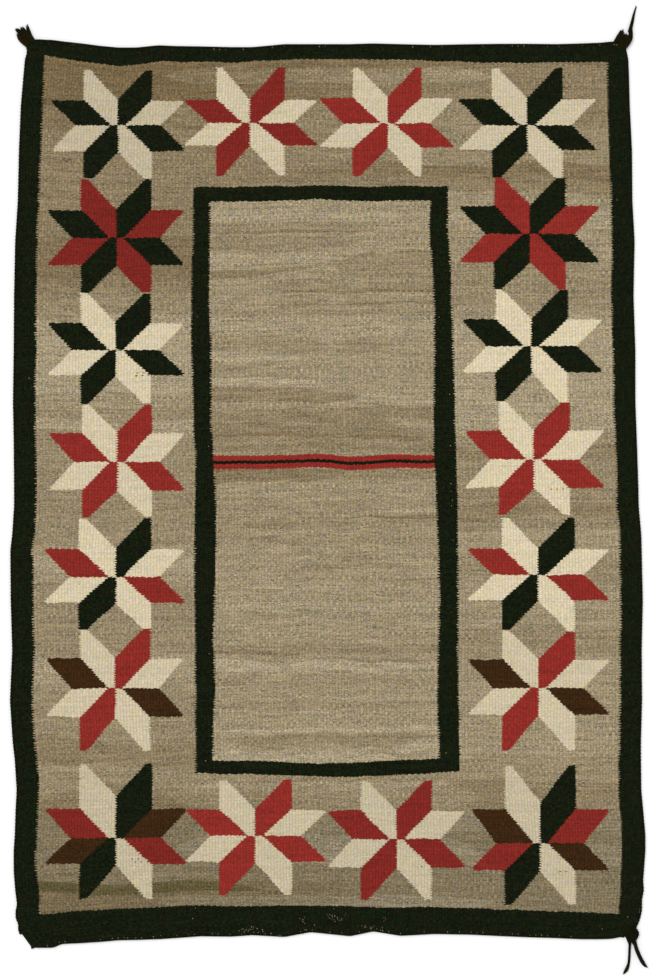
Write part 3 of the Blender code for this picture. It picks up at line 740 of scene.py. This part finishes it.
breaks_left = [between(a, b) for a, b in zip(ROWS_OF_STARS["left"], ROWS_OF_STARS["left"][1:])]
breaks_right = [between(a, b) for a, b in zip(ROWS_OF_STARS["right"], ROWS_OF_STARS["right"][1:])]
LEFT_AT, RIGHT_AT = 0.17, 0.83
anchors = [(0.0, 0.0)]
anchors += [(share_along(LEFT_AT, l), share_along(RIGHT_AT, r)) for l, r in zip(reversed(breaks_left), reversed(breaks_right))]
anchors += [(1.0, 1.0)]
EDGE = [0.0, 0.0007, 0.0018, 0.0035]  # rows that round the ends over
rows = []
for k, ((la, ra), (lb, rb)) in enumerate(zip(anchors, anchors[1:])):
    steps = max(2, int(round((lb - la) * 52)))
    marks = list(np.linspace(0, 1, steps, endpoint=False))
    if k == 0:
        marks = [0.0, *(e / lb for e in EDGE[1:]), *marks[1:]]
    if k == len(anchors) - 2:
        marks += [1 - e / (1 - la) for e in reversed(EDGE[1:])]
    rows += [(la + (lb - la) * m, ra + (rb - ra) * m) for m in marks]
rows.append((1.0, 1.0))
rows = np.array(rows)
COLUMNS = WARPS * 4
s = np.linspace(0, 1, COLUMNS + 1)[None, :]
t = rows[:, :1] + (rows[:, 1:] - rows[:, :1]) * (s - LEFT_AT) / (RIGHT_AT - LEFT_AT)
near_ends, far_ends = 1 - t.clip(0, 0.0035) / 0.0035, 1 - (1 - t).clip(0, 0.0035) / 0.0035
t = t.clip(0, 1)
s = np.broadcast_to(s, t.shape)
x, y = on_sheet(s, t)
u = s * WARPS
rib = np.sqrt(np.clip(1 - (2 * (u % 1.0) - 1) ** 2, 0, 1))
ends = np.sqrt(np.clip(1 - np.maximum(near_ends, far_ends) ** 2, 0, 1))
sides = np.sqrt(np.clip(1 - (1 - np.minimum(u, WARPS - u).clip(0, 1)) ** 2, 0, 1))
round_off = 0.3 + 0.7 * np.minimum(ends, sides)
unlevel = (
    0.10 * np.sin(x / 61 + 1.3 * np.sin(y / 97)) + 0.10 * np.sin(y / 71 + 1.1 * np.sin(x / 83) + 2)
    + 0.05 * np.sin(x / 19 + y / 23)
)
top = THICK / 2 + (THICK / 2 - 0.30 + 0.45 * rib + unlevel * 0.6) * round_off
bottom = THICK / 2 - (THICK / 2 - 0.40 + 0.40 * rib) * round_off

count_rows, count_columns = t.shape
grid = np.arange(t.size).reshape(t.shape)
a, b, c, d = grid[:-1, :-1], grid[:-1, 1:], grid[1:, 1:], grid[1:, :-1]
top_faces = np.stack([a, b, c, d], -1).reshape(-1, 4)
bottom_faces = top_faces[:, ::-1] + t.size
rim = []
for loop, flip in ((grid[0], False), (grid[-1], True), (grid[:, 0], True), (grid[:, -1], False)):
    quad = np.stack([loop[:-1], loop[:-1] + t.size, loop[1:] + t.size, loop[1:]], -1)
    rim.append(quad[:, ::-1] if flip else quad)
faces = np.vstack([top_faces, bottom_faces, *rim])
points = np.concatenate([np.stack([x, y, top], -1).reshape(-1, 3), np.stack([x, y, bottom], -1).reshape(-1, 3)]) * MM
blanket = mesh_object("blanket_weave", points, faces, weave)
data = blanket.data

uv = np.stack([u, t * PICKS], -1).reshape(-1, 2)
uv = np.vstack([uv, uv])
corners = np.empty(len(data.loops), np.int64)
data.loops.foreach_get("vertex_index", corners)
layer = data.uv_layers.new(name="Weave")
layer.uv.foreach_set("vector", uv[corners].astype(np.float32).ravel())


def store(name, values, domain):
    """A vector for each point or face. Both faces of the cloth carry the same design."""
    values = np.asarray(values, np.float32)
    made = data.attributes.new(name, "FLOAT_VECTOR", domain)
    made.data.foreach_set("vector", values.ravel())


px, py, pu = (np.concatenate([v.ravel(), v.ravel()]) for v in (x, y, u))
border_x = np.minimum(pu - straight(BORDER_LEFT)(py), WARPS - straight(BORDER_RIGHT)(py) - pu) * WARP
border_y = np.minimum(through(BORDER_FAR)(px) - py, py - through(BORDER_NEAR)(px))
store("border", np.stack([border_x, border_y, py - through(STRIPE, 12)(px)], 1), "POINT")
out_x = np.minimum(px - through(FRAME_LEFT_OUT, 8)(py), through(FRAME_RIGHT_OUT, 8)(py) - px)
out_y = np.minimum(through(FRAME_FAR_OUT)(px) - py, py - through(FRAME_NEAR_OUT)(px))
in_x = np.minimum(px - through(FRAME_LEFT_IN, 8)(py), through(FRAME_RIGHT_IN, 8)(py) - px)
in_y = np.minimum(through(FRAME_FAR_IN)(px) - py, py - through(FRAME_NEAR_IN)(px))
olive_half = OLIVE_BAND["thick"] / 2 * np.sin(np.clip((OLIVE_BAND["end"] - px) / 90, 0, 1) * math.pi / 2) - np.where(px > OLIVE_BAND["end"], 3.0, 0.0)
olive_middle = OLIVE_BAND["y"] + 3.0 * np.sin(px / 37)
store("frame_out", np.stack([out_x, out_y, olive_middle + olive_half - py], 1), "POINT")
store("frame_in", np.stack([in_x, in_y, py - olive_middle + olive_half], 1), "POINT")

across, along = px / UNIT + UNIT_X, UNIT_Y - py / UNIT
along = along + 0.8 * np.sin(across / 17 + along / 90) + 0.5 * np.sin(across / 7.3 + along / 41 + 1)
for prefix, table in (("lot", LOTS), ("outer", OUTER_LOTS)):
    to_far, to_near = [], []
    for _, start, stop, far_start, far_stop, near_start, near_stop in table:
        share = ((across - start) / (stop - start)).clip(0, 1)
        far_edge, near_edge = far_start + (far_stop - far_start) * share, near_start + (near_stop - near_start) * share
        middle, half = (far_edge + near_edge) / 2, (near_edge - far_edge) / 2
        # An end that doesn't run into the frame runs out to a point.
        reach = min(45.0, 0.45 * (stop - start))
        into_start = across - start if start > 206 or prefix == "outer" else reach
        into_stop = stop - across if stop < 439 or prefix == "outer" else reach
        into = np.minimum(into_start, into_stop)
        half = np.where(into > 0, half * np.sin(np.clip(into / reach, 0, 1) * math.pi / 2) ** 0.8, -3.0)
        to_far.append((along - middle + half) * UNIT)
        to_near.append((middle + half - along) * UNIT)
    for k in range(0, len(table), 3):
        for side, distances in (("far", to_far), ("near", to_near)):
            three = distances[k : k + 3]
            three += [three[-1]] * (3 - len(three))
            store(f"{prefix}_{side}{k}", np.stack(three, 1), "POINT")

centre_x, centre_y = px[faces].mean(1), py[faces].mean(1)
part_way = (pu[faces].mean(1) / WARPS - LEFT_AT) / (RIGHT_AT - LEFT_AT)
lines = [l + (r - l) * part_way for l, r in zip(breaks_left, breaks_right)]
belongs = np.where(centre_x < 0, ROWS_OF_STARS["left"][0], ROWS_OF_STARS["right"][0])
for k, line in enumerate(lines):
    belongs = np.where(centre_y < line, np.where(centre_x < 0, ROWS_OF_STARS["left"][k + 1], ROWS_OF_STARS["right"][k + 1]), belongs)
for row, inside in (("far", centre_y >= lines[0]), ("near", centre_y < lines[-1])):
    members = ROWS_OF_STARS[row]
    found = np.full(len(faces), members[0])
    for one, other in zip(members, members[1:]):
        edge = ((STARS[one].x + STARS[one].east) + (STARS[other].x - STARS[other].west)) / 2
        found = np.where(centre_x > edge, other, found)
    belongs = np.where(inside, found, belongs)
ORDER = {name: place for name, place in zip(("nnw", "nne", "ene", "ese", "sse", "ssw", "wsw", "wnw"), (7, 6, 2, 0, 4, 5, 1, 3))}
kinds = []
for star in STARS:
    code = sum("wkrb".index(letter) * 4 ** place for letter, place in zip(star.colours, ORDER.values()))
    kinds.append(
        (
            (star.x, star.y, code),
            (67.0 / star.west, 67.0 / star.east, star.notch),
            (star.far, 27.2 / star.far, 29.8 / (star.far_tip - star.far)),
            (star.near, 27.2 / star.near, 29.8 / (star.near_tip - star.near)),
            ((star.cream or 0.6) / 0.594, (star.red or 0.26) / 0.279, 1.0),
        )
    )
kinds = np.array(kinds)
for k, name in enumerate(("star_place", "star_reach", "star_far", "star_near", "star_took")):
    store(name, kinds[belongs, k], "FACE")
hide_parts("blanket")


# ------------------------------------------------------------ edge cords
def outline_path(table, key, ends, side):
    """The middle line of an edge cord, eased through the outline's stations and set in from them."""
    stations = [(row[0], row[key]) for row in table if ends[0] - 30 < row[0] < ends[1] + 30]
    line = through(stations, 5)
    at = np.arange(ends[0], ends[1] + 0.01, 1.45)
    return at, line(at) + side * (CORD / 2 - 0.7)


def edge_cord(name, path, turn, phase):
    parts = plied(path, CORD, plies=2, turn=turn, sides=8, phase=phase)
    points, faces = joined(parts)
    points[:, 2] = np.maximum(points[:, 2], 0.0)
    cord = mesh_object(name + "_yarn", points * MM, faces, edge_yarn)
    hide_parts(name)
    return cord


for name, table, key, ends, side in (
    ("side_cord_left", SECTIONS, 1, SIDE_LEFT, 1),
    ("side_cord_right", SECTIONS, 2, SIDE_RIGHT, -1),
    ("end_cord_far", END_SECTIONS, 1, END_FAR, -1),
    ("end_cord_near", END_SECTIONS, 2, END_NEAR, 1),
):
    at, across = outline_path(table, key, ends, side)
    path = np.stack([across, at, np.full(len(at), CORD / 2)], 1) if "side" in name else np.stack([at, across, np.full(len(at), CORD / 2)], 1)
    edge_cord(name, path, 9.0 if "side" in name else 7.0, rng.uniform(0, 6))


# ------------------------------------------------------------ corners
def frayed(name, bundles):
    """A corner's yarns, laid side by side in bundles and worked loose at their ends."""
    parts = []
    for number, diameter, *sides in bundles:
        for k in range(number):
            share = (k + 0.5) / number
            layer = k % 2
            places = []
            for (left, right), high in zip(zip(sides[::2], sides[1::2]), ((2.2, 3.2), (1.6, 3.9), (1.2, 2.4))):
                left, right = np.array(left, float), np.array(right, float)
                place = left + (right - left) * share + rng.uniform(-0.5, 0.5, 2)
                places.append((*place, high[layer] + rng.uniform(-0.2, 0.2)))
            places[2] = (*(np.array(places[2][:2]) + rng.uniform(-1.2, 0.6) * (np.array(places[2][:2]) - places[1][:2]) / 9), places[2][2])
            path = resample(places, 0.8)
            tapering = straight([(0, 0.8), (0.15, 1.0), (0.6, 1.0), (0.85, 0.8), (1, 0.35)])
            parts += plied(path, diameter, plies=2, turn=7.0, sides=7, taper=tapering, phase=rng.uniform(0, 6))
            for _ in range(3):
                start = path[-1 - int(rng.integers(0, 5))]
                way = path[-1] - path[-5]
                way = way / np.linalg.norm(way)
                end = start + (way + np.array([-way[1], way[0], 0.0]) * rng.uniform(-0.7, 0.7)) * rng.uniform(1.2, 2.8)
                end[2] = max(0.3, end[2])
                hair = resample([start, (start + end) / 2 + rng.uniform(-0.25, 0.25, 3), end], 0.6)
                parts.append(strand(hair, np.linspace(0.2, 0.06, len(hair)), 4))
    points, faces = joined(parts)
    points[:, 2] = np.clip(points[:, 2], 0.0, 7.2)
    corner = mesh_object(name + "_yarn", points * MM, faces, tie_yarn if "far" in name else edge_yarn)
    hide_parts(name)
    return corner


knots = [frayed(name, bundles) for name, bundles in BUNDLES.items()]


# ------------------------------------------------------------ flecks and warp loops
def bead(x_mm, y_mm, half_x, half_y, high=0.45, turn=0.0, base=3.0):
    """A low rounded bead of yarn on the cloth, as (points, faces)."""
    sides = 8
    angle = np.arange(sides) * 2 * math.pi / sides
    c, s_ = math.cos(turn), math.sin(turn)
    rings = []
    for share, lift in ((1.0, 0.0), (0.8, 0.62), (0.42, 0.94)):
        bx, by = half_x * share * np.cos(angle), half_y * share * np.sin(angle)
        rings.append(np.stack([x_mm + c * bx - s_ * by, y_mm + s_ * bx + c * by, np.full(sides, base + high * lift)], 1))
    points = np.vstack([*rings, [[x_mm, y_mm, base + high]]])
    faces = [(i * sides + k, i * sides + (k + 1) % sides, (i + 1) * sides + (k + 1) % sides, (i + 1) * sides + k) for i in range(2) for k in range(sides)]
    faces += [(2 * sides + k, 2 * sides + (k + 1) % sides, 3 * sides) for k in range(sides)]
    faces.append(tuple(range(sides - 1, -1, -1)))
    return points, faces


def warp_x(warp, along_mm):
    """x of a warp's middle at this y."""
    share = share_along(warp / WARPS, along_mm)
    return float(on_sheet(np.array([(warp + 0.5) / WARPS]), np.array([share]))[0][0])


# Cream warps show as dots just inside each end, at every second warp.
dots = []
for warp in range(1, WARPS - 2, 2):
    for far in (True, False):
        if rng.random() > (0.16 if far else 0.42):
            continue
        s_at = np.array([(warp + 0.5) / WARPS])
        t_at = np.array([1.0 if far else 0.0])
        wx, wy = (float(v[0]) for v in on_sheet(s_at, t_at))
        wy += (-1 if far else 1) * rng.uniform(0.4, 1.6)
        size = rng.uniform(0.55, 1.0)
        dots.append(bead(wx, wy, 0.55 * size, 1.05 * size, 0.5, rng.uniform(-0.3, 0.3), 2.9))
dots.append(bead(384.0, 593.6, 1.6, 1.0, 1.0, 0.3, 2.6))
dots.append(bead(387.2, 592.9, 1.3, 0.9, 0.9, -0.2, 2.6))
# Worn patches of the near border let the warps through: x, y, spread, how many.
for cx, cy, wide, tall, number in (
    (-100, -594, 17, 4.5, 22), (-30, -583, 10, 8, 9), (10, -577, 16, 9, 20), (60, -590, 24, 5, 14),
    (75, -579, 6, 4, 4), (-176, -563, 3, 2, 1), (-65, -600, 6, 1.5, 4),
):
    for _ in range(number):
        wx, wy = cx + rng.normal(0, wide * 0.55), cy + rng.normal(0, tall * 0.55)
        dots.append(bead(wx, wy, rng.uniform(0.3, 0.6), rng.uniform(0.4, 0.85), 0.4, rng.uniform(-0.5, 0.5)))
# Single warps that show elsewhere in the black.
for wx, wy in (
    (-400, 146), (387.5, 385), (402, -575.8), (368, -592), (164.5, 55.6), (165.2, 5), (165.8, -5.5), (167, -17.4),
    (166, -24.8), (168, -71), (158.5, -356), (-158.6, -223), (-163.5, -366.5), (149.4, 227.9), (163.5, 124.5),
    (-174.9, 228.3), (-159.5, 54.8), (-168, 440), (-181, -578), (-224, -600.5), (-268, -604),
):
    dots.append(bead(wx, wy, rng.uniform(0.5, 0.8), rng.uniform(0.5, 0.8), 0.45))
points, faces = joined(dots)
warp_dots = mesh_object("warp_dots", points * MM, faces, warp_yarn)

# Dark flecks in the handspun ground, mostly where a pick turns back at a join.
flecks = []
FLECKS = [
    (-153, 320, 1), (-196.5, 297.8, 1), (102, 271.2, 0), (171.3, 252.2, 2), (118.7, 169.9, 2), (173.8, 171.9, 2),
    (-153, 173.3, 1), (-149.3, 116, 2), (100.8, 103.4, 1), (129, 96.9, 2), (137.9, 105.9, 1), (-187.6, 57.9, 1),
    (-32.6, 206.6, 0), (-27, 206.8, 0), (-145.5, -58.7, 3), (-99, -78, 4), (-60.2, -75.7, 1), (-44.2, -75.7, 2),
    (-12.5, -76.4, 2), (-141, -80.4, 1), (-145, -102.9, 1), (-107.9, -120.2, 1), (-60.2, -146.6, 1), (56.4, -143.5, 1),
    (-145, -286.5, 2), (67, -291, 1), (-107.9, -334.7, 2), (-15.1, -336.9, 1), (68.3, -338.8, 2), (-53.6, -322.7, 0),
    (-184.7, -126.8, 1), (-183.3, -164.4, 2), (-192.6, -164.4, 1), (180.9, -171.8, 1), (-184.7, -327.4, 2), (-255, 148, 1),
    (-299.8, 118, 1), (-341, 268, 2), (181, 120, 1), (-371, 235, 1), (330, -390, 2), (335, -430, 1), (190, 10, 1),
]
for fx, fy, size in FLECKS:
    for k in range(max(1, size)):
        flecks.append(bead(fx + (k - size / 2) * 2.6 + rng.uniform(-0.6, 0.6), fy + rng.uniform(-0.7, 0.7), rng.uniform(0.75, 1.35), rng.uniform(0.35, 0.6), 0.3, rng.uniform(-0.25, 0.25)))
for row_y, from_x, to_x, gap in ((-122, -20, 55, 5.5), (-128, 62, 140, 6.0), (-146, -60, 140, 11.0), (-123, 70, 140, 7.0)):
    for fx in np.arange(from_x, to_x, gap):
        flecks.append(bead(fx + rng.uniform(-1.5, 1.5), row_y + rng.uniform(-1.2, 1.2), rng.uniform(0.6, 1.1), rng.uniform(0.3, 0.45), 0.25))
for _ in range(130):
    fx, fy = rng.uniform(-380, 375), rng.uniform(-555, 565)
    flecks.append(bead(fx, fy, rng.uniform(0.35, 0.8), rng.uniform(0.25, 0.4), 0.22, rng.uniform(-0.3, 0.3)))
points, faces = joined(flecks)
dark_flecks = mesh_object("dark_flecks", points * MM, faces, dark_fleck)


def stray_picks(name, runs, finish):
    """Picks of a star's colour that run on a few warps past its edge, seen on every second warp."""
    parts = []
    for from_x, to_x, at_y, slope in runs:
        places = np.arange(from_x, to_x, WARP * 2)
        for fx in places:
            parts.append(bead(fx + rng.uniform(-0.3, 0.3), at_y + slope * (fx - from_x) + rng.uniform(-0.15, 0.15), 1.75, 0.65, 0.28))
    points, faces = joined(parts)
    made = mesh_object(name, points * MM, faces, finish)
    return made


strays = [
    stray_picks("stray_black", [(-256, -236, 149.8, 0.02), (-243, -231, -373.2, 0.0), (-343, -330, 268, 0.0), (330, 345, -372, 0.03), (226, 240, -556.5, 0.0), (-262, -246, -498, 0.0), (-255, -240, 153, 0.0)], black_fleck),
    stray_picks("stray_red", [(-258, -234, -502.2, 0.0), (299, 323, -2.6, 0.02), (-142, -128, -501.8, 0.0), (126, 134, -508, 0.0), (178, 190, -507.5, 0.0), (-66, -52, -388, 0.0)], red_fleck),
    stray_picks("stray_brown", [(312, 328, -515, 0.0), (368, 378, -515.5, 0.0)], brown_fleck),
]

# ------------------------------------------------------------ floor and light
floor_data = bpy.data.meshes.new("floor")
floor_data.from_pydata([(-6, -6, 0), (6, -6, 0), (6, 6, 0), (-6, 6, 0)], [], [(0, 1, 2, 3)])
floor = bpy.data.objects.new("floor", floor_data)
bpy.context.scene.collection.objects.link(floor)
floor.location.z = -0.0003
paper = Finish("floor", roughness=1.0, specular=0.0)
paper.shader.inputs["Base Color"].default_value = (0.94, 0.94, 0.94, 1.0)
floor_data.materials.append(paper.material)

world = bpy.data.worlds.new("studio")
bpy.context.scene.world = world
world.use_nodes = True
world.node_tree.nodes["Background"].inputs["Color"].default_value = (1.0, 1.0, 1.0, 1.0)
world.node_tree.nodes["Background"].inputs["Strength"].default_value = 0.75
key = bpy.data.objects.new("key", bpy.data.lights.new("key", "SUN"))
bpy.context.scene.collection.objects.link(key)
key.data.energy = 1.3
key.data.angle = math.radians(40.0)
key.rotation_euler = (math.radians(-20.0), math.radians(-18.0), 0.0)
bpy.context.scene.view_settings.view_transform = "Standard"
